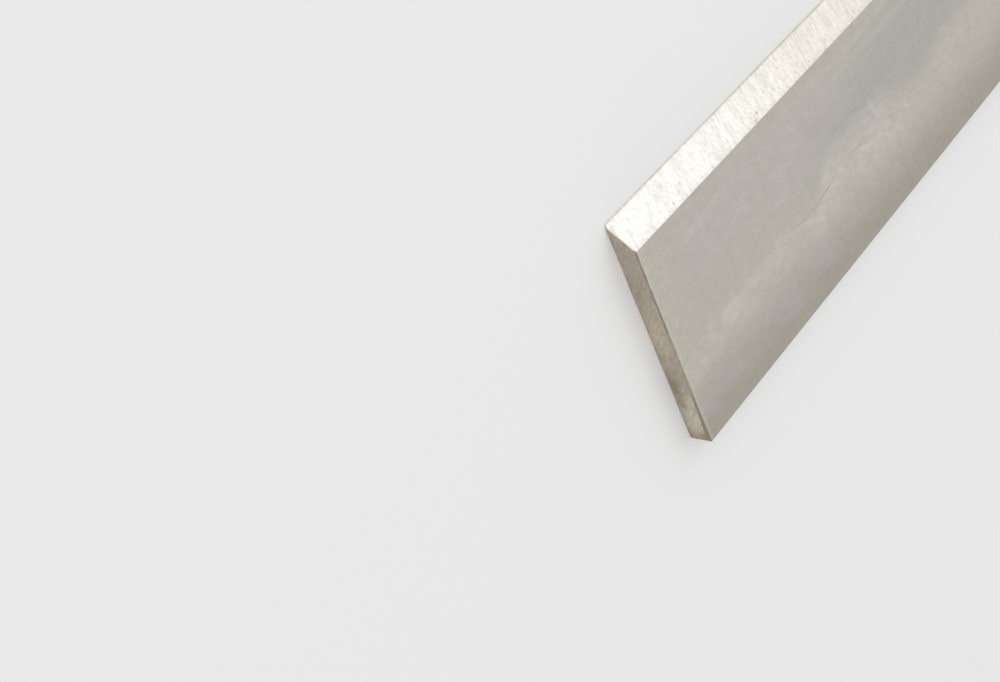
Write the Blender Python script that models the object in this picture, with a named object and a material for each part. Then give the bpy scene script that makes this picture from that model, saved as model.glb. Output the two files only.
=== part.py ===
"""Planer knife: one straight bar of ground high-speed steel with a single cutting edge.

The knife lies on its back face. X runs along the knife, +Y points from the spine to the
cutting edge, and +Z points out of the front face, on the side of the bevel. The origin is
the middle of the back face, which is the face that seats in the slot of a cutter block.
All sizes are in metres and angles in degrees.
"""

import math

import bmesh
import bpy

LENGTH = 0.310           # from end to end, the width of stock that the knife can plane
WIDTH = 0.030            # from the spine to the cutting edge
THICKNESS = 0.003        # from the back face to the front face
BEVEL_ANGLE = 42.0       # between the ground bevel and the back face, at the cutting edge
SPINE_RADIUS = 0.00015   # rounding of the two long edges of the spine
SPINE_SEGMENTS = 3       # flats that make up each rounded spine edge
END_BREAK = 0.0002       # chamfer stoned around both ends, so that they don't cut the hand

STEEL_COLOUR = (0.46, 0.44, 0.39, 1.0)   # warm light grey of oiled, surface-ground steel
STEEL_ROUGHNESS = 0.34                   # satin, from a fine grinding wheel
SMOOTH_BELOW = 30.0                      # facets that meet at less than this angle shade as one


def clear_scene():
    """Start from an empty scene."""
    for old in list(bpy.data.objects):
        bpy.data.objects.remove(old, do_unlink=True)


def section_corners():
    """The knife's section in the YZ plane, as named corners before any edge is broken.

    The bevel starts at the back face, so the cutting edge lies in the plane of the back
    face, and it takes the whole thickness. Its heel is where it meets the front face.
    """
    setback = THICKNESS / math.tan(math.radians(BEVEL_ANGLE))
    return {
        "cutting_edge": (WIDTH / 2, 0.0),
        "heel": (WIDTH / 2 - setback, THICKNESS),
        "spine_front": (-WIDTH / 2, THICKNESS),
        "spine_back": (-WIDTH / 2, 0.0),
    }


def extrude_bar(shape):
    """Draw the section at the near end and extrude it along the knife."""
    near = -LENGTH / 2
    corners = [shape.verts.new((near, y, z)) for y, z in section_corners().values()]
    end = shape.faces.new(corners)
    swept = bmesh.ops.extrude_face_region(shape, geom=[end], use_keep_orig=True)
    moved = [part for part in swept["geom"] if isinstance(part, bmesh.types.BMVert)]
    bmesh.ops.translate(shape, verts=moved, vec=(LENGTH, 0.0, 0.0))
    bmesh.ops.recalc_face_normals(shape, faces=shape.faces)


def runs_along(edge, direction):
    """True if a straight edge is parallel to the given axis: 0 for X, 1 for Y, 2 for Z."""
    across = edge.verts[1].co - edge.verts[0].co
    return abs(across[direction]) > 0.999 * across.length


def break_ends(shape):
    """Chamfer the outline of both end faces. The cutting edge itself stays sharp."""
    ends = [face for face in shape.faces if abs(face.normal.x) > 0.999]
    outline = {edge for face in ends for edge in face.edges}
    bmesh.ops.bevel(
        shape, geom=list(outline), offset=END_BREAK, offset_type="OFFSET", affect="EDGES",
        segments=1, profile=0.5, material=-1,
    )


def spine_edges(shape):
    """Both long edges of the spine, with the slanted corner edge that the chamfers left at each end."""
    along = [
        edge for edge in shape.edges
        if runs_along(edge, 0) and all(math.isclose(v.co.y, -WIDTH / 2, abs_tol=1e-7) for v in edge.verts)
    ]
    corners = [
        edge for long_edge in along for vert in long_edge.verts for edge in vert.link_edges
        if not any(runs_along(edge, direction) for direction in range(3))
    ]
    return along + corners


def round_spine(shape):
    """Round both long edges of the spine, where the knife slides down into its slot."""
    bmesh.ops.bevel(
        shape, geom=spine_edges(shape), offset=SPINE_RADIUS, offset_type="OFFSET", affect="EDGES",
        segments=SPINE_SEGMENTS, profile=0.5, material=-1,
    )


def ground_steel():
    """Hardened steel, ground all over: a satin metal with a slightly warm tint."""
    material = bpy.data.materials.new("ground_steel")
    material.use_nodes = True
    surface = material.node_tree.nodes["Principled BSDF"]
    surface.inputs["Base Color"].default_value = STEEL_COLOUR
    surface.inputs["Metallic"].default_value = 1.0
    surface.inputs["Roughness"].default_value = STEEL_ROUGHNESS
    return material


def make_planer_knife():
    """Build the whole knife as one closed solid and link it into the scene."""
    shape = bmesh.new()
    extrude_bar(shape)
    break_ends(shape)
    round_spine(shape)
    mesh = bpy.data.meshes.new("planer_knife")
    shape.to_mesh(mesh)
    shape.free()
    mesh.materials.append(ground_steel())
    mesh.shade_smooth()
    mesh.set_sharp_from_angle(angle=math.radians(SMOOTH_BELOW))
    knife = bpy.data.objects.new("planer_knife", mesh)
    bpy.context.scene.collection.objects.link(knife)
    return knife


clear_scene()
make_planer_knife()
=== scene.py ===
# %% [markdown]
# # A ground planer knife
# A planer knife is one bar of hardened steel. What makes it look real is how each face was
# ground and what has dried on it since, so most of this lesson goes to surface finishes.
# The model of the bar itself is already made, and the first step loads it as a fixed frame.

# %% Load the solid part
import math

import bmesh
import bpy
from mathutils import Matrix, Vector, noise


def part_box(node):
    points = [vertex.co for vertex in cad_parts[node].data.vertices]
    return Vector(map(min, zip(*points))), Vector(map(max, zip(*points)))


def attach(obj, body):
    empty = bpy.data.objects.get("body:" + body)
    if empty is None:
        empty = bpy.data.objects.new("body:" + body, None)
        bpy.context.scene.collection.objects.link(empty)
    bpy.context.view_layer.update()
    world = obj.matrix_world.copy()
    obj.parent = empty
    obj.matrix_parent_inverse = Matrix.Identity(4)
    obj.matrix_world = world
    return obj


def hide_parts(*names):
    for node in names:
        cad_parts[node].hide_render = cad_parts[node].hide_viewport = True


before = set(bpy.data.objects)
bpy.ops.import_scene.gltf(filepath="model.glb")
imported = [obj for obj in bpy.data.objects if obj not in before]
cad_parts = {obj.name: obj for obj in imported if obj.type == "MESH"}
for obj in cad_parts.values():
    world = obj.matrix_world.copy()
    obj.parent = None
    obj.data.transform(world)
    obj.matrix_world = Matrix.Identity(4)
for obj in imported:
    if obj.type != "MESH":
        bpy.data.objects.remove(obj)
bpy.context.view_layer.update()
knife_low, knife_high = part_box("planer_knife")
print("knife, m:", [round(side, 4) for side in knife_high - knife_low])

# %% [markdown]
# Every size below is in millimetres, because that is how a knife is drawn, and one value
# turns millimetres into Blender's metres. The three main sizes are read from the solid.
# The bevel's angle and the break on the ends repeat the values that the part was made with.

# %% Sizes
MM = 0.001
LENGTH, WIDTH, THICKNESS = ((knife_high - knife_low) / MM)[:]
BEVEL_ANGLE = math.radians(42.0)    # between the bevel and the back face
END_BREAK = 0.2                     # chamfer around each end of the solid

near_end = -LENGTH / 2
spine_y = -WIDTH / 2
heel_y = WIDTH / 2 - THICKNESS / math.tan(BEVEL_ANGLE)
bevel_width = THICKNESS / math.sin(BEVEL_ANGLE)
print("heel at y =", round(heel_y, 2), "mm, bevel", round(bevel_width, 2), "mm wide")

# %% [markdown]
# The blade could be dressed by giving the solid a new material, but the solid has only the
# few faces that its form needs. A copy of it, with its doubled points merged and its flat
# faces joined again, can be sliced into small quads with `bisect_plane`. The slices give
# the edges enough points to be worn unevenly, as a hand stone wears them.

# %% A fine copy of the blade
SLICE_ALONG = 2.5               # mm between cuts along the knife
SLICE_ACROSS = 0.6              # mm between cuts from the spine to the cutting edge
ALONG, ACROSS = 0, 1            # the numbers of the X and Y axes
SAME_POINT = 1e-6               # m, points closer together than this are merged
ON_THE_CUT = 1e-7               # m, a point closer to a cut than this lies on it
SAME_FLAT = math.radians(1.0)   # triangles that meet at less than this are one flat face


def slice_up(shape, axis, low, high, step):
    """Cut a whole mesh with planes that stand across an axis, a step apart, all in mm."""
    normal = Vector((0.0, 0.0, 0.0))
    normal[axis] = 1.0
    count = round((high - low) / step)
    for cut in range(1, count):
        at = normal * (low + (high - low) * cut / count) * MM
        everything = shape.verts[:] + shape.edges[:] + shape.faces[:]
        bmesh.ops.bisect_plane(shape, geom=everything, dist=ON_THE_CUT, plane_co=at, plane_no=normal)


blade = bmesh.new()
blade.from_mesh(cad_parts["planer_knife"].data)
bmesh.ops.remove_doubles(blade, verts=blade.verts, dist=SAME_POINT)
bmesh.ops.dissolve_limit(blade, angle_limit=SAME_FLAT, verts=blade.verts, edges=blade.edges)
print("faces after joining the flats:", len(blade.faces))
slice_up(blade, ALONG, -LENGTH / 2, LENGTH / 2, SLICE_ALONG)
slice_up(blade, ACROSS, -WIDTH / 2, WIDTH / 2, SLICE_ACROSS)
print("faces after slicing:", len(blade.faces))

# %% [markdown]
# The solid has an even chamfer around each end. On the real knife somebody drew a stone
# along those edges by hand: along the front face, flatter against the end than against the
# face, and harder towards the spine, and along the back edge and the bevel only lightly.
# How hard it was pressed is one function of the place across the knife, with some noise
# for the hand that held it.

# %% How hard the stone was pressed
FREE_PRESSURE = 0.85        # away from the spine; at 1 the break is as wide as the next cell says
SPINE_PRESSURE = 0.9        # what is added to that at the spine
SPINE_POWER = 6             # how suddenly it sets in
HAND_WAVER = 0.3            # the most that the hand adds or takes away
WAVERS_PER_MM = 0.4         # how quickly it changes
END_IN_NOISE, ROW_IN_NOISE = 7.0, 3.1   # places in the noise; the two ends read different ones


def pressure(y, side):
    """The pressure at a place across the knife, in mm, on the end at side -1 or 1."""
    towards_spine = (WIDTH / 2 - y) / WIDTH
    place = Vector((WAVERS_PER_MM * y, END_IN_NOISE * side, ROW_IN_NOISE))
    steady = FREE_PRESSURE + SPINE_PRESSURE * towards_spine ** SPINE_POWER
    return steady + HAND_WAVER * noise.noise(place)


print("pressure at the spine and at the heel:", [round(pressure(y, -1), 2) for y in (spine_y, heel_y)])

# %% [markdown]
# Each point of the chamfer slides in the face that it lies in, so the faces and the ends
# stay flat and only the width of the break changes. Where the front face's break meets the
# bevel's, their common point is the crossing of two lines. At the tip of the cutting edge
# the even chamfer stays, which leaves that corner rounded, as on the real knife.

# %% Break the ends unevenly
BREAK_ON_FACE = 0.04    # mm, how far the break reaches onto a wide face
BREAK_ON_END = 0.36     # mm, how far it reaches down the end from the front face
BREAK_ON_BEVEL = 0.11   # mm, the break along the bevel, alike on the bevel and on the end
LIGHT_STROKE = 0.3      # how much of the front face's break the back edge got
TIP_ROUNDED = 1.8       # mm, the stretch before the cutting edge where the break widens
TIP_LEFT = 0.4          # mm before the cutting edge from which the chamfer is left as it is
TOUCHING = 0.001        # mm, a point closer than this lies in a plane
RING_WITHIN = 0.05      # mm, the rounded corners put some points of a ring this far off it
RIM_WITHIN = 0.4        # mm, the rim of an end, rounded corners too, is this close to a wide face

across_bevel, up_bevel = math.sin(BEVEL_ANGLE), math.cos(BEVEL_ANGLE)    # the way the bevel looks
moved = 0
for vert in blade.verts:
    x, y, z = vert.co / MM
    side = math.copysign(1.0, x)
    inward = LENGTH / 2 - abs(x)
    stoned = min(max((WIDTH / 2 - TIP_LEFT - y) / TIP_ROUNDED, 0.0), 1.0)
    down_front = BREAK_ON_END * pressure(y, side)
    off_bevel = stoned * (END_BREAK - BREAK_ON_BEVEL)
    out_of_bevel = (y - heel_y) * across_bevel + (z - THICKNESS) * up_bevel
    beside_bevel = out_of_bevel > -END_BREAK - RING_WITHIN
    in_end = inward < TOUCHING
    if abs(inward - END_BREAK) < RING_WITHIN:
        in_bevel = y > heel_y + TOUCHING and z > TOUCHING
        on_face = BREAK_ON_BEVEL if in_bevel else BREAK_ON_FACE * pressure(y, side)
        x = side * (LENGTH / 2 - END_BREAK + stoned * (END_BREAK - on_face))
    elif in_end and beside_bevel and z > THICKNESS - END_BREAK - TOUCHING:
        z = THICKNESS - down_front
        y = heel_y + (down_front * up_bevel - BREAK_ON_BEVEL) / across_bevel
    elif in_end and beside_bevel:
        y += off_bevel * across_bevel
        z += off_bevel * up_bevel
    elif in_end and z > THICKNESS - RIM_WITHIN:
        z += END_BREAK - down_front
    elif in_end and z < RIM_WITHIN:
        z -= stoned * (END_BREAK - LIGHT_STROKE * down_front)
    else:
        continue
    vert.co = Vector((x, y, z)) * MM
    moved += 1
print("points moved on the broken edges:", moved)

# %% [markdown]
# Colours are picked as sRGB hex values, as in any paint program. Blender's shaders count
# in linear light, so one function turns a hex value into what a colour socket wants. A
# second one adds a node of any kind, applies its settings and fills its inputs, either in
# order or by name, with values or with another node's output. It gives back an output.

# %% Helpers for colours and nodes
def linear(hex_colour):
    """A colour socket's value from an sRGB hex colour, by the sRGB standard's own curve."""
    channels = [int(hex_colour[i:i + 2], 16) / 255 for i in (1, 3, 5)]
    return [c / 12.92 if c <= 0.04045 else ((c + 0.055) / 1.055) ** 2.4 for c in channels] + [1.0]


def add(tree, kind, inputs=(), **settings):
    """Add a node, with its inputs given in order or by name, and return its first output."""
    node = tree.nodes.new("ShaderNode" + kind)
    for name, value in settings.items():
        setattr(node, name, value)
    in_use = [socket for socket in node.inputs if socket.enabled]
    pairs = inputs.items() if isinstance(inputs, dict) else enumerate(inputs)
    for key, value in pairs:
        socket = node.inputs[key] if isinstance(key, str) else in_use[key]
        if isinstance(value, bpy.types.NodeSocket):
            tree.links.new(value, socket)
        else:
            socket.default_value = value
    return next((socket for socket in node.outputs if socket.enabled), None)


print("mid grey #808080 is", round(linear("#808080")[0], 3), "in linear light")

# %% [markdown]
# All the finishes start alike: a Principled shader at full metallic, with its default IOR,
# and the Object coordinates turned into millimetres. Object coordinates suit a ground bar,
# because grinding lines run straight through space and don't follow a mesh's corners.
# Nearly all their patterns are noise, stretched to the size of a real line, cloud or grain.

# %% Start a steel finish
def new_steel(name, roughness):
    """A metal material: its tree, its shader node and its place in millimetres."""
    material = bpy.data.materials.new(name)
    material.use_nodes = True
    tree = material.node_tree
    tree.nodes.clear()
    surface = add(tree, "BsdfPrincipled", {"Metallic": 1.0, "Roughness": roughness})
    add(tree, "OutputMaterial", [surface])
    place = add(tree, "TexCoord").node.outputs["Object"]
    in_mm = add(tree, "VectorMath", [place, (1 / MM,) * 3], operation="MULTIPLY")
    return material, tree, surface.node, in_mm


def streaks(tree, plane, wide, tall, lean=0.0, detail=2.0):
    """Noise from 0 to 1 in streaks so many mm wide and tall, leaning by some degrees.

    Wide is along the plane's first axis, and tall is along its second.
    """
    turned = add(tree, "Mapping", {
        "Vector": plane,
        "Rotation": (0.0, 0.0, math.radians(lean)),
        "Scale": (wide, tall, 1.0),
    }, vector_type="TEXTURE")
    return add(tree, "TexNoise", {"Vector": turned, "Scale": 1.0, "Detail": detail})


print("one unit of a pattern is", MM, "m")

# %% [markdown]
# A finish is built up in layers, as on the real knife, and a mask says where each of them
# lies. It could be painted by hand, but soft ramps of distance and of noise give it in
# real millimetres. Ramps are multiplied, so a layer stays only where all of them let it.

# %% Masks from soft ramps
def mask(tree, *terms):
    """Where a layer lies: the product of some terms, each a mask or a soft ramp.

    A ramp is (value, low, high) and climbs from 0 at low to 1 at high. Two more numbers
    give it other levels at its low and its high.
    """
    product = None
    for term in terms:
        if isinstance(term, tuple):
            term = add(tree, "MapRange", term, interpolation_type="SMOOTHSTEP")
        if product is None:
            product = term
        else:
            product = add(tree, "Math", [product, term], operation="MULTIPLY")
    return product


QUARTER = 0.25
print("a quarter of the way along, a soft ramp is at", QUARTER ** 2 * (3 - 2 * QUARTER))

# %% [markdown]
# Knives leave the grinder wet with oil. It creeps, dries and leaves a tide line, which is
# the one drawing on this knife that the eye follows. Noise alone can't put it where it is,
# so a few listed points along the knife give its height and its strength, and a
# Float Curve joins them. Past the stretch that could be seen, slow noise leads it on.

# %% Edges of dried oil
MARKED_FROM, MARKED_TO = -155.0, -75.0      # mm, the stretch where marks were placed
LED_ON = MARKED_TO - 5.0, MARKED_TO + 30.0  # mm, where slow noise takes over from the points
WANDER = 8.0                                # mm from the lowest to the highest that it leads to
DRIFT_PITCH = 38.0                          # mm, how slowly it climbs and falls
SHIVER_PITCH = 1.3                          # mm, the unevenness of a drying edge
NOISE_MIDDLE = 0.5                          # what a Noise node gives on average


def curve_through(tree, along, points):
    """A smooth value along the marked stretch, through points of (x in mm, value from 0 to 1)."""
    followed = add(tree, "FloatCurve", [1.0, along])
    mapping = followed.node.mapping
    mapping.extend = "HORIZONTAL"
    curve = mapping.curves[0]
    placed = [((x - MARKED_FROM) / (MARKED_TO - MARKED_FROM), value) for x, value in points]
    curve.points[0].location = placed[0]
    curve.points[1].location = placed[-1]
    for at, value in placed[1:-1]:
        curve.points.new(at, value)
    mapping.update()
    return followed


def dried_edge(tree, x, y, points, waver):
    """How far a place lies above a dried edge, in mm, and how strong the edge is there.

    The points are (x, y, strength), and the edge shivers by the waver, in mm.
    """
    along = add(tree, "MapRange", [x, MARKED_FROM, MARKED_TO, 0.0, 1.0])
    share = curve_through(tree, along, [(px, (py - spine_y) / WIDTH) for px, py, _ in points])
    height = add(tree, "MapRange", [share, 0.0, 1.0, spine_y, -spine_y])
    slow = {"W": x, "Scale": 1 / DRIFT_PITCH, "Detail": 1.0}
    drift = add(tree, "TexNoise", slow, noise_dimensions="1D")
    drift = add(tree, "Math", [drift, NOISE_MIDDLE], operation="SUBTRACT")
    beyond = mask(tree, (x, *LED_ON, 0.0, WANDER))
    led_on = add(tree, "Math", [drift, beyond, height], operation="MULTIPLY_ADD")
    quick = {"W": x, "Scale": 1 / SHIVER_PITCH, "Detail": 2.0}
    shiver = add(tree, "TexNoise", quick, noise_dimensions="1D")
    shiver = add(tree, "MapRange", [shiver, 0.0, 1.0, -waver, waver])
    above = add(tree, "Math", [y, led_on], operation="SUBTRACT")
    above = add(tree, "Math", [above, shiver], operation="ADD")
    strength = curve_through(tree, along, [(px, level) for px, _, level in points])
    return above, strength


print("marks placed by eye over", MARKED_TO - MARKED_FROM, "mm of the knife")

# %% [markdown]
# The wide faces were surface ground: a wheel passed over them and left a satin with fine
# lines straight across. On top lies the film of dried oil, which is cloudy where it is
# thick, mottled where it dried, and grainy where dust stuck to it. Each of these patterns
# shades the face by a few percent, and some of them later break up the film's own marks.

# %% Grain of the wide faces
CLEAN_ROUGHNESS = 0.32      # satin, from a fine grinding wheel
OILED_ROUGHNESS = 0.42      # duller under dried oil
FACE_LINE_WIDE = 0.35       # mm; the real lines are finer, and wouldn't show
FACE_LEAN = 3.0             # degrees, the lines of the wheel
FILM_LEAN = -20.0           # degrees, the way in which the film was dragged

face_steel, tree, shader, mm = new_steel("surface_ground_steel", CLEAN_ROUGHNESS)
x, y, _ = add(tree, "SeparateXYZ", [mm]).node.outputs
clouds = streaks(tree, mm, wide=7.0, tall=4.0, lean=FILM_LEAN, detail=3.0)
mottle = streaks(tree, mm, wide=1.6, tall=1.0, lean=FILM_LEAN, detail=3.0)
grains = streaks(tree, mm, wide=0.45, tall=0.4, detail=1.0)
columns = streaks(tree, mm, wide=1.6, tall=20.0, lean=FACE_LEAN)
lines = streaks(tree, mm, wide=FACE_LINE_WIDE, tall=14.0, lean=FACE_LEAN)
face_grain = (clouds, 0.06), (mottle, 0.16), (grains, 0.08), (columns, 0.08), (lines, 0.06)
print("nodes for the grain of the faces:", len(tree.nodes))

# %% [markdown]
# The film has five tones. It is brown along the spine and thins out evenly from there, and
# that brown band is painted shade as well, darker towards the spine. A clean, bright band
# follows, with an upper edge that is soft near the end, where the knife is handled, and
# crisp further along. On its shoulder lies a rosy patch, and beyond that a cold grey pool.
# Towards the near end the film is so thin that it shows a trace of lilac, as thin oil does.
# First come the two dried edges that bound the band and its shoulder.

# %% Edges of the clean band and its shoulder
CLEAN_BAND_TOP = [
    # x and y in mm, and how strong the band is there
    (-155, -2.8, 0.2), (-150, -2.7, 0.3), (-144, -2.6, 0.75), (-139, -2.7, 0.6),
    (-134, -2.8, 0.45), (-130, -3.1, 0.3), (-124, -3.6, 0.85), (-120.5, -2.9, 1.0),
    (-117.5, -2.3, 1.0), (-113, -2.5, 1.0), (-109, -3.3, 0.65), (-105, -2.7, 0.85),
    (-101, -2.7, 0.75), (-97, -3.5, 0.15), (-93, -2.8, 0.2), (-89, -1.6, 0.3),
    (-85, -1.8, 0.2), (-80, -1.6, 0.3), (-75, -1.2, 0.3),
]
SHOULDER_TOP = [
    (-155, -2.6, 0.0), (-126, -2.6, 0.0), (-123.5, -1.6, 0.4), (-121, 0.4, 0.9),
    (-117, 1.6, 0.65), (-113.5, 1.6, 0.6), (-110, 1.6, 0.75), (-107.5, 1.3, 0.85),
    (-105, 1.3, 0.45), (-102.5, 0.6, 0.1), (-100, -0.4, 0.0), (-75, -1.0, 0.0),
]
above_band, in_band = dried_edge(tree, x, y, CLEAN_BAND_TOP, waver=0.25)
above_shoulder, in_shoulder = dried_edge(tree, x, y, SHOULDER_TOP, waver=0.4)
print("points on the two edges:", len(CLEAN_BAND_TOP), len(SHOULDER_TOP))

# %% [markdown]
# Each tone is then a mask made from ramps in millimetres: along the knife, across it, or
# above one of those edges. The clouds push the brown band of oil and painted shade and the
# grey up and down and break up the band and the lilac, because no film of oil is even.

# %% Tones of the film
FACE_STEEL = linear("#C2BDB3")      # ground high-speed steel under a thin, warm film
CLEAN_BAND = linear("#D1CCC0")      # wiped almost clean
OIL_AND_SHADE_BY_SPINE = linear("#AEA99E")     # where the oil gathered and dried, with painted shade: darker by the spine
ROSY_FILM = linear("#CFCAC2")       # a thin film with a trace of rust in it
GREY_POOL = linear("#B6B4AD")       # a thicker, colder patch of film
LILAC_FILM = linear("#C3BBB8")      # film thin enough to show a faint colour
LILAC_BY_SPINE = linear("#B7B0AD")       # the same over the spine's oil and painted shade

CLOUDS_PUSH = 3.0                               # mm, from the lightest cloud to the darkest
OIL_AND_SHADE_ACROSS = -12.8, -6.0, 1.0, 0.0              # across, from full oil and painted shade at the spine to none
BAND_CRISP_ALONG = -134.0, -125.0, 0.3, 1.0     # along, how crisp the band's edge is
UNDER_BAND_EDGE = -0.5, 0.2, 1.0, 0.0           # above the band's edge, where the band stops
BAND_CLEANER = -4.5, -0.8, 0.1, 1.0             # above it, the band gets cleaner up to its edge
OVER_BAND_EDGE = -0.6, 0.1                      # above it, where the shoulder starts
UNDER_SHOULDER = -2.2, 0.8, 0.9, 0.0            # above the shoulder's edge, where it stops
POOL_OVER_BAND = 0.0, 3.4                       # above the band's edge, where the pool gets full
POOL_CLIMBS = 0.2                               # mm across for each mm along, on its far side
POOL_FAR_SIDE = 25.2, 33.2, 1.0, 0.0            # across, where that side would be at x = 0
POOL_ALONG = -140.0, -100.0                     # along, where it gets full
LILAC_FILM_RAMPS = (y, 0.0, 3.0), (y, 11.0, 8.5), (x, -152.0, -147.0), (x, -112.0, -122.0)
LILAC_BY_SPINE_RAMPS = (y, -7.0, -9.0), (y, -14.0, -11.0), (x, -120.0, -128.0)

pushed = add(tree, "Math", [clouds, NOISE_MIDDLE], operation="SUBTRACT")
pushed = add(tree, "Math", [pushed, CLOUDS_PUSH, y], operation="MULTIPLY_ADD")
# oil and painted shade: the faces get browner and darker towards the spine
oil_and_painted_shade = add(tree, "MapRange", [pushed, *OIL_AND_SHADE_ACROSS])

patchy = mask(tree, (clouds, 0.35, 0.6, 0.4, 1.1), (mottle, 0.35, 0.65, 0.6, 1.1))
crisp_above = mask(tree, above_band, (x, *BAND_CRISP_ALONG))
cleaner = add(tree, "MapRange", [above_band, *BAND_CLEANER])
clean = mask(tree, (crisp_above, *UNDER_BAND_EDGE), cleaner, in_band, patchy)

dragged = streaks(tree, mm, wide=3.0, tall=0.7, lean=-12.0, detail=4.0)
shoulder = mask(
    tree, (above_shoulder, *UNDER_SHOULDER), (above_band, *OVER_BAND_EDGE),
    in_shoulder, (dragged, 0.3, 0.65, 0.45, 1.0),
)
sloped = add(tree, "Math", [x, -POOL_CLIMBS, pushed], operation="MULTIPLY_ADD")
pool = mask(tree, (above_band, *POOL_OVER_BAND), (sloped, *POOL_FAR_SIDE), (x, *POOL_ALONG))
tinge = mask(tree, (clouds, 0.38, 0.58, 0.15, 0.45))
lilac_film = mask(tree, *LILAC_FILM_RAMPS, tinge)
lilac_by_spine = mask(tree, *LILAC_BY_SPINE_RAMPS, tinge)
print("nodes with the tones of the film:", len(tree.nodes))

# %% [markdown]
# Where oil dries last it leaves a rim: a thin dark line, or a pale one where the film pulled
# away from the steel. A rag that was dragged over it leaves greyish arcs. All these marks
# are short, so the strength of their points is 0 outside them, and the line fades out at
# both ends. They were placed one by one, like the band.

# %% Where the small marks lie
MAIN_TIDE = [
    (-155, -2.8, 0.0), (-132, -3.0, 0.0), (-129.5, -3.2, 0.25), (-127.5, -3.6, 1.0),
    (-124, -3.6, 1.0), (-121, -3.0, 0.9), (-119, -2.6, 0.3), (-117.5, -2.3, 0.0),
    (-115.5, -2.1, 0.0), (-114, -2.3, 0.8), (-111, -2.8, 0.9), (-109, -3.0, 0.2),
    (-105, -3.2, 0.3), (-102, -4.0, 0.35), (-99, -5.3, 0.35), (-96, -5.9, 0.0), (-75, -5.0, 0.0),
]
SHOULDER_RIM = [
    (-155, 1.0, 0.0), (-109.4, 1.0, 0.0), (-108.6, 0.7, 0.6), (-107.9, 0.1, 1.0),
    (-107.4, -0.8, 1.0), (-107.1, -1.9, 0.9), (-106.5, -2.6, 0.0), (-75, -2.6, 0.0),
]
HOOK = [
    (-155, -2.4, 0.0), (-123.6, -2.4, 0.0), (-122.4, -2.0, 0.8), (-121, -1.5, 1.0),
    (-119.8, -0.6, 0.8), (-118.8, 0.3, 0.0), (-75, 0.3, 0.0),
]
HIGH_RIM = [
    (-155, 2.2, 0.0), (-121, 2.3, 0.0), (-117, 2.2, 0.8), (-111, 1.9, 1.0),
    (-108, 0.6, 0.5), (-104, 0.2, 0.0), (-75, 1.0, 0.0),
]
SMALL_ARC = [
    (-155, 4.0, 0.0), (-144, 4.2, 0.1), (-140.5, 4.2, 0.8), (-137, 5.0, 1.0),
    (-134.5, 4.0, 0.7), (-133, 3.0, 0.0), (-75, 3.0, 0.0),
]
LOW_ARC = [
    (-155, 1.6, 0.0), (-133, 1.6, 0.0), (-130, 1.0, 1.0), (-127.5, 0.1, 0.9),
    (-125, 0.4, 0.5), (-122, 0.5, 0.0), (-75, 0.5, 0.0),
]
FEATHER = [
    (-155, 4.8, 0.0), (-132, 4.8, 0.0), (-130, 4.6, 0.8), (-128.5, 4.1, 1.0),
    (-126.5, 4.9, 0.9), (-125, 5.4, 0.0), (-75, 5.0, 0.0),
]
FLECK = [
    (-155, -5.8, 0.0), (-152.2, -5.8, 0.0), (-151.2, -5.7, 1.0), (-150.2, -5.9, 0.0), (-75, -5.8, 0.0),
]
WRINKLES = [
    (-155, -3.0, 0.0), (-148, -3.2, 0.0), (-144, -3.8, 0.6), (-139, -3.3, 0.4),
    (-135.5, -3.1, 0.5), (-133, -3.1, 0.95), (-130, -3.4, 1.0), (-128, -3.7, 0.6),
    (-126, -3.8, 0.0), (-75, -3.8, 0.0),
]
print("points on the main tide line:", len(MAIN_TIDE))

# %% [markdown]
# The marks are uneven and broken, so each line is multiplied by a pattern. For most of
# them it is one of those that shade the face. Over one stretch of the band's edge the film
# dried into small wrinkles, and there it is the borders of a Voronoi pattern. Higher up a
# rag left faint stripes along the knife. The spine's edge, on which a knife stands in its
# rack, has begun to rust in spots.

# %% Rims and small marks
TIDE_DARK = linear("#A6A29A")       # the rim of a dried edge
TIDE_LIGHT = linear("#D4CFC4")      # clean steel where the film pulled away
WIPED_GREY = linear("#CFCCC5")      # where a rag wiped the film thin
RUST_SPOT = linear("#B39F8D")       # the first rust on the spine's edge
WRINKLE_SIZE = 0.9, 0.6, 1.0        # mm
WIPED_ACROSS = 4.5, 8.0             # mm across the knife, where the stripes get full
RUST_ACROSS = -12.8, -14.0          # mm across, from the last rust to its full strength

wrinkled = add(tree, "Mapping", {"Vector": mm, "Scale": WRINKLE_SIZE}, vector_type="TEXTURE")
wrinkled = add(tree, "TexVoronoi", {"Vector": wrinkled, "Scale": 1.0}, feature="DISTANCE_TO_EDGE")
MARKS = [
    # points, width and waver in mm, pattern, its level at 0 and at full strength, strength, tint
    (SMALL_ARC, 0.5, 0.6, mottle, 0.3, 0.6, 0.32, WIPED_GREY),
    (LOW_ARC, 0.4, 0.4, mottle, 0.3, 0.6, 0.35, WIPED_GREY),
    (FEATHER, 1.3, 0.8, grains, 0.45, 0.7, 0.7, WIPED_GREY),
    (WRINKLES, 1.5, 0.3, wrinkled, 0.15, 0.03, 0.55, TIDE_LIGHT),
    (HOOK, 0.8, 0.2, mottle, 0.25, 0.55, 0.45, TIDE_LIGHT),
    (FLECK, 0.55, 0.1, mottle, 0.1, 0.4, 0.7, TIDE_LIGHT),
    (SHOULDER_RIM, 1.5, 0.1, mottle, 0.2, 0.5, 0.45, TIDE_LIGHT),
    (MAIN_TIDE, 0.3, 0.25, mottle, 0.3, 0.6, 0.6, TIDE_DARK),
    (HIGH_RIM, 0.55, 0.5, mottle, 0.35, 0.65, 0.35, TIDE_DARK),
]
marks = []
for points, width, waver, pattern, none_at, full_at, strength, tint in MARKS:
    above, there = dried_edge(tree, x, y, points, waver)
    distance = add(tree, "Math", [above], operation="ABSOLUTE")
    broken_up = (pattern, none_at, full_at, 0.0, strength)
    marks.append((mask(tree, (distance, 0.0, width, 1.0, 0.0), there, broken_up), tint))

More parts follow.
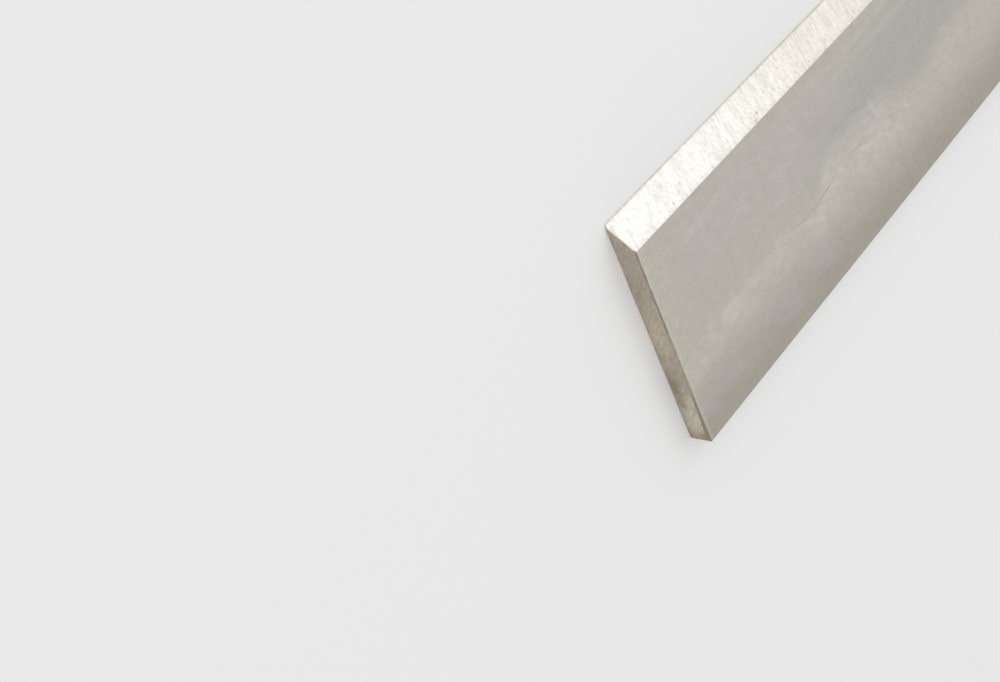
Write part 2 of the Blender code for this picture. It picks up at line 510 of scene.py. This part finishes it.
stripes = streaks(tree, mm, wide=12.0, tall=1.5)
wiped = mask(tree, (stripes, 0.42, 0.75, 0.0, 0.35), (y, *WIPED_ACROSS))
spots = streaks(tree, mm, wide=2.0, tall=1.2, detail=1.0)
rust = mask(tree, (spots, 0.52, 0.7, 0.0, 0.5), (y, *RUST_ACROSS))
print("nodes with the marks:", len(tree.nodes))

# %% [markdown]
# All this is now laid over the bare steel, one layer after another: the tones of the film
# first and the marks in it later. The shade of the grain goes over all of them, and the
# finest lines are bumps as well. The other finishes use these functions too.

# %% Lay the layers over the steel
def lay_over(tree, steel, layers):
    """The colour of steel under its layers, each a mask and a tint, the last on top."""
    colour = steel
    for where, tint in layers:
        colour = add(tree, "Mix", [where, colour, tint], data_type="RGBA")
    return colour


def shade_by_grain(tree, colour, grain, darkest, brightest, start=0.0):
    """A colour made darker and brighter by the patterns of a grain, each with its weight.

    The start is added to them: 0, or a slow change of shade over the whole piece.
    """
    total = start
    for pattern, weight in grain:
        total = add(tree, "Math", [pattern, weight, total], operation="MULTIPLY_ADD")
    weights = sum(weight for _, weight in grain)
    shade = add(tree, "MapRange", [total, 0.0, weights, darkest, brightest])
    return add(tree, "Mix", [1.0, colour, shade], data_type="RGBA", blend_type="MULTIPLY")


def paint(tree, shader, colour, bumps, strength, depth):
    """Give a shader its colour and its bumps, which are so many mm deep."""
    tree.links.new(colour, shader.inputs["Base Color"])
    bump = add(tree, "Bump", {"Height": bumps, "Strength": strength, "Distance": depth * MM})
    tree.links.new(bump, shader.inputs["Normal"])


print("marks to lay over the film:", len(marks))

# %% [markdown]
# The last few millimetres at each end are paler and grainy, because hands and the stone
# rubbed them, and the very edge is burnished. Both are masks of the distance from the
# nearer end. With them the list of layers on the wide faces is complete.

# %% Finish of the wide faces
RUBBED_EDGE = linear("#CFC9B9")     # the margin of an end, rubbed by hands and by the stone
MARGIN = 4.5, 0.4                   # mm from an end, from none of the margin to all of it
BURNISHED = 0.7, 0.25, 0.0, 0.35    # the same for the burnished edge, and its strength


def from_the_end(tree, x):
    """How far a place lies from the nearer end of the knife, in mm."""
    from_middle = add(tree, "Math", [x], operation="ABSOLUTE")
    return add(tree, "Math", [LENGTH / 2, from_middle], operation="SUBTRACT")


from_end = from_the_end(tree, x)
margin = mask(tree, (from_end, *MARGIN), (grains, 0.4, 0.7, 0.08, 0.4))
burnished = mask(tree, (from_end, *BURNISHED))
colour = lay_over(tree, FACE_STEEL, [
    (clean, CLEAN_BAND), (pool, GREY_POOL), (shoulder, ROSY_FILM), (margin, RUBBED_EDGE),
    (oil_and_painted_shade, OIL_AND_SHADE_BY_SPINE), (lilac_film, LILAC_FILM), (lilac_by_spine, LILAC_BY_SPINE),
    (burnished, RUBBED_EDGE), (wiped, WIPED_GREY), *marks, (rust, RUST_SPOT),
])
colour = shade_by_grain(tree, colour, face_grain, darkest=0.78, brightest=1.22)
paint(tree, shader, colour, bumps=lines, strength=0.3, depth=0.01)
dulled = [oil_and_painted_shade, 0.0, 1.0, CLEAN_ROUGHNESS, OILED_ROUGHNESS]
dulled = add(tree, "MapRange", dulled, interpolation_type="SMOOTHSTEP")
tree.links.new(dulled, shader.inputs["Roughness"])
print("nodes in the face finish:", len(tree.nodes))

# %% [markdown]
# The bevel was ground by the rim of a wheel that swept across it, so its lines lean by
# about 26 degrees and cross the whole bevel from heel to edge. A pattern that is to lie in
# the bevel's own plane needs the distance from the cutting edge, which is the height above
# the back face over the sine of the bevel's angle. The lines are also bumps, because on
# the brightest face of the knife they are seen as glints more than as colour.

# %% Grinding lines of the bevel
BEVEL_LINE_WIDE = 0.3       # mm; drawn as coarse as it shows at this distance
BEVEL_LEAN = 26.0           # degrees, the lines of the wheel
CROSSING_LEAN = -28.0       # degrees, fainter lines from the wheel's way back
CROSSING_SHALLOW = 0.4      # how deep those are, where the others have 1
SCUFF_LEAN = -40.0          # degrees, scuffs from handling

bevel_steel, tree, shader, mm = new_steel("wheel_ground_bevel", roughness=0.3)
x, _, z = add(tree, "SeparateXYZ", [mm]).node.outputs
across = add(tree, "Math", [z, math.sin(BEVEL_ANGLE)], operation="DIVIDE")
plane = add(tree, "CombineXYZ", [x, across, 0.0])
lines = streaks(tree, plane, wide=BEVEL_LINE_WIDE, tall=2.6, lean=BEVEL_LEAN, detail=3.0)
bands = streaks(tree, plane, wide=1.5, tall=12.0, lean=BEVEL_LEAN)
crumbs = streaks(tree, plane, wide=0.4, tall=0.6, lean=BEVEL_LEAN, detail=3.0)
crossing = streaks(tree, plane, wide=0.35, tall=1.2, lean=CROSSING_LEAN)
holes = streaks(tree, plane, wide=0.5, tall=0.85, lean=BEVEL_LEAN, detail=1.0)
rubs = streaks(tree, plane, wide=1.1, tall=1.4, lean=SCUFF_LEAN)
bevel_grain = (bands, 0.30), (crumbs, 0.36), (crossing, 0.18)
print("nodes for the lines of the bevel:", len(tree.nodes))

# %% [markdown]
# Grit that broke out of the wheel left pits, more of them near the heel. Later handling
# left scuffs that lean the other way, and it rubbed the near end until the lines there are
# faint. The bevel is painted paler near the end, where its highlight is brightest, and
# darker and warmer further along, where that fades. A thin burr follows the cutting edge,
# and painted shade darkens it.

# %% Finish of the bevel
BEVEL_BARE = linear("#D3D2CE")      # freshly ground, and left pale near the end as painted highlight
BEVEL_PAST_HIGHLIGHT = linear("#CECAC1")      # painted: darker and warmer, where the highlight fades
BEVEL_LINE = linear("#BEBBB2")      # the bottom of a grinding line
BURR_AND_SHADE = linear("#A29C8E")       # the burr, with painted shade: the dark line that its tiny facet shows
PIT_DARK = linear("#98968F")        # pits, with oil in them
BEVEL_RIM = linear("#CFC7B5")       # the broken edge at the end of the bevel, slightly yellow

HIGHLIGHT_FADES_ALONG = -150.0, -112.0                                 # mm along, where the painted highlight has faded
RUBBED_ALONG = -152.0, -122.0, 0.55, 1.0                    # mm along, what is left of lines and pits
MORE_AT_HEEL = 1.0, bevel_width, -0.06, 0.04                # mm from the edge, what the pits gain
HEEL_DARKER = bevel_width - 0.8, bevel_width, 0.0, 0.45     # mm from the edge, and strength
BURR_AND_SHADE_ACROSS = 0.05, 0.4, 0.8, 0.0                           # mm from the edge, and strength
RIM_FROM_END = BREAK_ON_BEVEL, 0.6 * BREAK_ON_BEVEL         # mm from an end

rubbed = mask(tree, (x, *RUBBED_ALONG))
heel_gain = mask(tree, (across, *MORE_AT_HEEL))
holes = add(tree, "Math", [holes, heel_gain], operation="ADD")
colour = lay_over(tree, BEVEL_BARE, [
    # painted highlight: paler near the end, darker and warmer further along
    (mask(tree, (x, *HIGHLIGHT_FADES_ALONG)), BEVEL_PAST_HIGHLIGHT),
    (mask(tree, (lines, 0.6, 0.25), rubbed), BEVEL_LINE),
    # the burr and painted shade: a dark line along the cutting edge
    (mask(tree, (across, *BURR_AND_SHADE_ACROSS)), BURR_AND_SHADE),
    (mask(tree, (across, *HEEL_DARKER)), BEVEL_LINE),
    (mask(tree, (rubs, 0.55, 0.75, 0.0, 0.6)), BEVEL_LINE),
    (mask(tree, (holes, 0.62, 0.84, 0.0, 0.8), rubbed), PIT_DARK),
    (mask(tree, (from_the_end(tree, x), *RIM_FROM_END)), BEVEL_RIM),
])
colour = shade_by_grain(tree, colour, bevel_grain, darkest=0.59, brightest=1.43)
height = add(tree, "Math", [crossing, CROSSING_SHALLOW, lines], operation="MULTIPLY_ADD")
paint(tree, shader, colour, bumps=height, strength=0.4, depth=0.02)
print("nodes in the bevel finish:", len(tree.nodes))

# %% [markdown]
# The ends were cut with an abrasive disc and never ground. Heat and storage left them a
# dull grey-brown with cloudy stains a few millimetres wide, over faint lines from the disc.
# Noise alone makes such clouds anywhere, which is enough for the far end. On the near end
# the stains that the eye picks out are placed as well, each a soft ellipse with a ragged rim.

# %% Stains on the near end
END_STEEL = linear("#C1B8AA")       # dull, warm grey
END_ROSE = linear("#BAADA4")        # a thin bloom of rust
END_OLIVE = linear("#B5AE9B")       # old oil that has gone green
END_BROWN = linear("#AB9B88")       # stained by heat
END_PALE = linear("#DAD5C4")        # rubbed paler
END_SAND = linear("#D8CBB6")        # rubbed through to a warmer layer
END_RUST = linear("#B0987E")        # a spot of rust
END_MOSS = linear("#978F78")        # a thick drop of old oil

END_STAINS = {
    # name: (middle in y and z, half its length and height in mm, colour, strength)
    "spine_corner": (-15.0, 2.0, 1.4, 2.6, END_BROWN, 1.0),
    "arris_corner": (-14.4, 2.9, 1.3, 0.8, END_MOSS, 0.8),
    "rust_near_spine": (-14.2, 2.0, 0.4, 0.8, END_RUST, 0.7),
    "rubbed": (-11.8, 1.4, 2.4, 1.6, END_PALE, 0.6),
    "dim_patch": (-6.3, 1.5, 2.6, 1.6, END_OLIVE, 0.5),
    "oil_drop": (-7.2, 0.8, 1.7, 1.0, END_MOSS, 0.65),
    "worn_ledge": (-9.1, 2.1, 1.1, 1.0, END_PALE, 0.4),
    "rust_spot": (-9.7, 0.8, 0.9, 0.6, END_RUST, 0.65),
    "worn_middle": (0.2, 1.1, 2.6, 1.4, END_SAND, 0.55),
    "green_patch": (6.4, 1.4, 1.5, 2.0, END_OLIVE, 0.65),
    "rose_patch": (8.6, 1.7, 0.9, 1.3, END_ROSE, 0.8),
    "beside_the_bevel": (11.6, 1.8, 2.4, 1.9, END_OLIVE, 0.35),
}
STAIN_DEPTH = LENGTH / 4    # mm, half a stain's depth, which keeps it clear of the far end
RIM_RAGGED = 1.2            # how much the noise draws a stain's rim in and out
RIM_FADES = 1.95, 0.85      # the ragged distance from a stain's middle, from none of it to all


def end_stain(tree, plane, ragged, y, z, half_long, half_high, strength):
    """A mask of a patch on the near end, with a ragged rim."""
    centred = add(tree, "Mapping", {
        "Vector": plane,
        "Location": (y, z, near_end),
        "Scale": (half_long, half_high, STAIN_DEPTH),
    }, vector_type="TEXTURE")
    out = add(tree, "VectorMath", [centred], operation="LENGTH")
    rim = add(tree, "Math", [ragged, RIM_RAGGED, out], operation="MULTIPLY_ADD")
    return mask(tree, (rim, *RIM_FADES, 0.0, strength))


print("stains placed on the near end:", ", ".join(END_STAINS))

# %% [markdown]
# Under the placed stains lie the clouds of the whole end, from two noises of different size.
# Fine specks and the disc's lines, which rise towards the cutting edge, shade it all, and
# painted shade makes the end darker towards the front face, to even out the floor's shade
# at its back edge.

# %% Finish of the cut ends
END_LINE_WIDE = 0.35                # mm
END_LEAN = -58.0                    # degrees, from standing across the end
PAINTED_END_SHADE = 0.02                  # painted shade: brightness lost with each mm towards the front face
BLOOM_APART = (31.0, 0.0, 0.0)      # mm, so that the bloom lies elsewhere than the clouds

end_steel, tree, shader, mm = new_steel("disc_cut_end", roughness=0.5)
x, y, z = add(tree, "SeparateXYZ", [mm]).node.outputs
plane = add(tree, "CombineXYZ", [y, z, x])
clouds = streaks(tree, plane, wide=3.2, tall=2.2, lean=20.0, detail=3.0)
elsewhere = add(tree, "VectorMath", [plane, BLOOM_APART], operation="ADD")
bloom = streaks(tree, elsewhere, wide=1.8, tall=2.4)
ragged = streaks(tree, plane, wide=0.8, tall=1.2, lean=END_LEAN, detail=3.0)
specks = streaks(tree, plane, wide=0.3, tall=0.3)
lines = streaks(tree, plane, wide=END_LINE_WIDE, tall=2.2, lean=END_LEAN, detail=3.0)
clouded = [
    (mask(tree, (bloom, 0.48, 0.62, 0.0, 0.6)), END_ROSE),
    (mask(tree, (bloom, 0.46, 0.34, 0.0, 0.7)), END_OLIVE),
    (mask(tree, (clouds, 0.55, 0.75, 0.0, 0.5)), END_BROWN),
]
stained = [
    (end_stain(tree, plane, ragged, *place_and_size, strength), tint)
    for *place_and_size, tint, strength in END_STAINS.values()
]
colour = lay_over(tree, END_STEEL, clouded + stained)
# painted shade: the end is darker towards the front face, evening out the floor's shade at the back
darker = add(tree, "Math", [THICKNESS / 2, z], operation="SUBTRACT")
darker = add(tree, "Math", [darker, PAINTED_END_SHADE], operation="MULTIPLY")
end_grain = (specks, 0.54), (lines, 0.46), (clouds, 0.08)
colour = shade_by_grain(tree, colour, end_grain, darkest=0.45, brightest=1.53, start=darker)
height = add(tree, "Math", [specks, lines], operation="ADD")
paint(tree, shader, colour, bumps=height, strength=0.6, depth=0.02)
print("nodes in the end finish:", len(tree.nodes))

# %% [markdown]
# The broken edge around an end is painted dark, as the narrow chamfer looks in shade, so
# it reads as a thin dark outline. It needs only one colour varied along its length.

# %% Finish of the broken edges
STONED_PAINTED_SHADE = linear("#978F83")     # painted shade on the narrow chamfer
STONED_WORN = linear("#ACA597")     # paler in streaks
STONED_OIL_AND_SHADE = linear("#958E7F")     # the spine's oil and painted shade, where they reach the edge
EDGE_OIL_AND_SHADE_ACROSS = -10.5, -12.5          # mm across the knife, from none of them to all

stoned_edge, tree, shader, mm = new_steel("stoned_edge", roughness=0.45)
_, y, _ = add(tree, "SeparateXYZ", [mm]).node.outputs
worn = streaks(tree, mm, wide=0.6, tall=1.5, detail=3.0)
# painted shade: the broken edge is coloured as dark as it looks in shade
colour = lay_over(tree, STONED_PAINTED_SHADE, [
    (mask(tree, (worn, 0.4, 0.65)), STONED_WORN),
    (mask(tree, (y, *EDGE_OIL_AND_SHADE_ACROSS)), STONED_OIL_AND_SHADE),
])
tree.links.new(colour, shader.inputs["Base Color"])
print("nodes in the broken edges' finish:", len(tree.nodes))

# %% [markdown]
# The spine was ground lengthwise in one pass, so its lines run with the knife. It seats on
# the bottom of the slot and is never seen in use, and its finish is the plainest.

# %% Finish of the spine
SPINE_STEEL = linear("#BCB6AB")     # ground, with a little oil
SPINE_LINE = linear("#A9A398")      # the bottom of a grinding line
LINE_SHARE = 0.6                    # of the lines in the pattern; the rest is clouds

spine_steel, tree, shader, mm = new_steel("lengthwise_ground_spine", roughness=0.38)
x, y, z = add(tree, "SeparateXYZ", [mm]).node.outputs
plane = add(tree, "CombineXYZ", [z, x, y])
lines = streaks(tree, plane, wide=0.2, tall=25.0, detail=3.0)
clouds = streaks(tree, mm, wide=8.0, tall=8.0, detail=3.0)
clouded = add(tree, "Math", [clouds, 1.0 - LINE_SHARE], operation="MULTIPLY")
mixed = add(tree, "Math", [lines, LINE_SHARE, clouded], operation="MULTIPLY_ADD")
colour = lay_over(tree, SPINE_LINE, [(mask(tree, (mixed, 0.4, 0.6)), SPINE_STEEL)])
paint(tree, shader, colour, bumps=lines, strength=0.4, depth=0.01)
print("nodes in the spine finish:", len(tree.nodes))

# %% [markdown]
# Each face of the fine blade gets its finish by the way it looks: up or down, out of the
# bevel, along the knife, or out of the spine. What looks between two of these is a broken
# edge, apart from the one at the end of the bevel, which is as bright as the bevel. An edge
# stays sharp where the finish changes or the faces meet steeply, so that no broken edge
# bends the shading of the flat face beside it.

# %% Give each face its finish
FINISHES = [face_steel, bevel_steel, end_steel, stoned_edge, spine_steel]
FACE, BEVEL, END, EDGE, SPINE = range(len(FINISHES))
LOOKS_ALONG = 0.9995        # how far a normal points along the knife, on the flat of an end
LEANS_ALONG = 0.1           # the same, on any broken edge of an end
ROUNDED = 0.2, 0.98         # how far a normal points to the spine, on the spine's rounded edges
LOOKS_TO_SPINE = 0.5        # the same, on the spine
LIKE_THE_BEVEL = 0.99       # how far a normal points as the bevel's does
SMOOTH_BELOW = math.radians(35)     # the facets of the rounded spine edges meet at 30 degrees

bevel_normal = Vector((0.0, across_bevel, up_bevel))
blade.normal_update()
counts = [0] * len(FINISHES)
for face in blade.faces:
    ahead = abs(face.normal.x)
    to_spine = -face.normal.y
    past_heel = face.calc_center_median().y > heel_y * MM
    if ahead > LOOKS_ALONG:
        face.material_index = END
    elif ahead > LEANS_ALONG and face.normal.z > 0.0 and past_heel:
        face.material_index = BEVEL
    elif ahead > LEANS_ALONG or ROUNDED[0] < to_spine < ROUNDED[1]:
        face.material_index = EDGE
    elif face.normal.dot(bevel_normal) > LIKE_THE_BEVEL:
        face.material_index = BEVEL
    elif to_spine > LOOKS_TO_SPINE:
        face.material_index = SPINE
    else:
        face.material_index = FACE
    counts[face.material_index] += 1
    face.smooth = True
for edge in blade.edges:
    one_finish = len({face.material_index for face in edge.link_faces}) == 1
    edge.smooth = one_finish and edge.calc_face_angle(0.0) < SMOOTH_BELOW
mesh = bpy.data.meshes.new("ground_blade")
blade.to_mesh(mesh)
blade.free()
for finish in FINISHES:
    mesh.materials.append(finish)
ground_blade = bpy.data.objects.new("ground_blade", mesh)
bpy.context.scene.collection.objects.link(ground_blade)
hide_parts("planer_knife")
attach(ground_blade, "root")
print("faces by finish:", dict(zip((finish.name for finish in FINISHES), counts)))

# %% [markdown]
# The floor is a sheet of pale grey card. Pure white would swallow the bevel, which is
# almost white itself, and a slight grey lets the shadow under the knife be seen.

# %% Floor
FLOOR_HALF = 6.0                # m from the middle of the floor to each of its sides
CARD_GREY = linear("#F0F0F0")   # uncoated card, with no gloss at all

floor_mesh = bpy.data.meshes.new("floor")
sheet = bmesh.new()
bmesh.ops.create_grid(sheet, x_segments=1, y_segments=1, size=FLOOR_HALF)
sheet.to_mesh(floor_mesh)
sheet.free()
floor = bpy.data.objects.new("floor", floor_mesh)
bpy.context.scene.collection.objects.link(floor)
pale_card = bpy.data.materials.new("pale_card")
pale_card.use_nodes = True
card = pale_card.node_tree.nodes["Principled BSDF"]
card.inputs["Base Color"].default_value = CARD_GREY
card.inputs["Roughness"].default_value = 1.0
card.inputs["Specular IOR Level"].default_value = 0.0
floor_mesh.materials.append(pale_card)
print("floor, m:", [round(side, 1) for side in floor.dimensions])

# %% [markdown]
# A metal shows what surrounds it, so the surroundings are kept plain: an even, soft world
# for the faces, and a large softbox placed where the bevel mirrors it into the camera. That
# lamp is why the bevel is bright while the wide face beside it stays grey. A smaller one,
# low beside the camera, does the same for the broken edge at the end of the bevel.

# %% World and lamps
WHITE = (1.0, 1.0, 1.0, 1.0)
WORLD_LEVEL = 0.86
KEY_LEVEL = 0.9         # what the large sheet adds to the world behind it, where 1 is white
FILL_LEVEL = 0.9        # the same for the small sheet
AIM_INWARD = 0.03       # m, both lamps face a place so far in from the near end
SOFTBOXES = {
    # name: (azimuth and elevation in degrees, distance, width and height in m, level)
    "key_softbox": (46.5, 36.0, 0.8, 0.5, 0.45, KEY_LEVEL),
    "fill_softbox": (150.0, 24.0, 0.8, 0.35, 0.35, FILL_LEVEL),
}

world = bpy.data.worlds.new("studio")
bpy.context.scene.world = world
world.use_nodes = True
world.node_tree.nodes["Background"].inputs["Color"].default_value = WHITE
world.node_tree.nodes["Background"].inputs["Strength"].default_value = WORLD_LEVEL
for name, (azimuth, elevation, distance, wide, high, level) in SOFTBOXES.items():
    light = bpy.data.lights.new(name, "AREA")
    light.shape = "RECTANGLE"
    light.size, light.size_y = wide, high
    light.energy = math.pi * level * wide * high    # watts for a sheet of that brightness
    lamp = bpy.data.objects.new(name, light)
    a, e = math.radians(azimuth), math.radians(elevation)   # azimuth 0 is +X, and 90 is +Y
    out = Vector((math.cos(a) * math.cos(e), math.sin(a) * math.cos(e), math.sin(e)))
    aim = Vector((near_end * MM + AIM_INWARD, 0.0, 0.0))
    turned = out.to_track_quat("Z", "Y").to_matrix().to_4x4()
    lamp.matrix_world = Matrix.Translation(aim + out * distance) @ turned
    bpy.context.scene.collection.objects.link(lamp)
    print(name, round(light.energy, 2), "W")

# %% [markdown]
# The photograph looks down on the near end with a normal lens and shows the knife upright
# on its spine. The knife can't stand like that, so here it lies on its back face and the
# camera rolls instead, which gives the same view of it. The roll is a turn about the line
# of sight, after the camera has been aimed.

# %% Camera
CAMERA_AT = Vector((-247.20, 86.39, 99.28)) * MM
CAMERA_AIM = Vector((-173.72, 14.16, 0.0)) * MM
CAMERA_ROLL = math.radians(98.826)
CAMERA_LENS = 52.32         # mm
FRAME_WIDE = 36.0           # mm
CLIP_FROM_TO = 0.01, 20.0   # m, what is nearer or further isn't drawn

lens = bpy.data.cameras.new("camera")
lens.lens, lens.sensor_width = CAMERA_LENS, FRAME_WIDE
lens.clip_start, lens.clip_end = CLIP_FROM_TO
camera = bpy.data.objects.new("camera", lens)
aimed = (CAMERA_AIM - CAMERA_AT).to_track_quat("-Z", "Y").to_matrix()
rolled = aimed @ Matrix.Rotation(CAMERA_ROLL, 3, "Z")
camera.matrix_world = Matrix.Translation(CAMERA_AT) @ rolled.to_4x4()
bpy.context.scene.collection.objects.link(camera)
bpy.context.scene.camera = camera
bpy.context.scene.view_settings.view_transform = "Standard"
print("camera to its aim, mm:", round((CAMERA_AIM - CAMERA_AT).length / MM, 1))

# %% [markdown]
# Last, the view layer is updated, so that the finished model is current. The finishes and
# worn edges mustn't make the knife larger than the solid part.

# %% Update the finished model
bpy.context.view_layer.update()
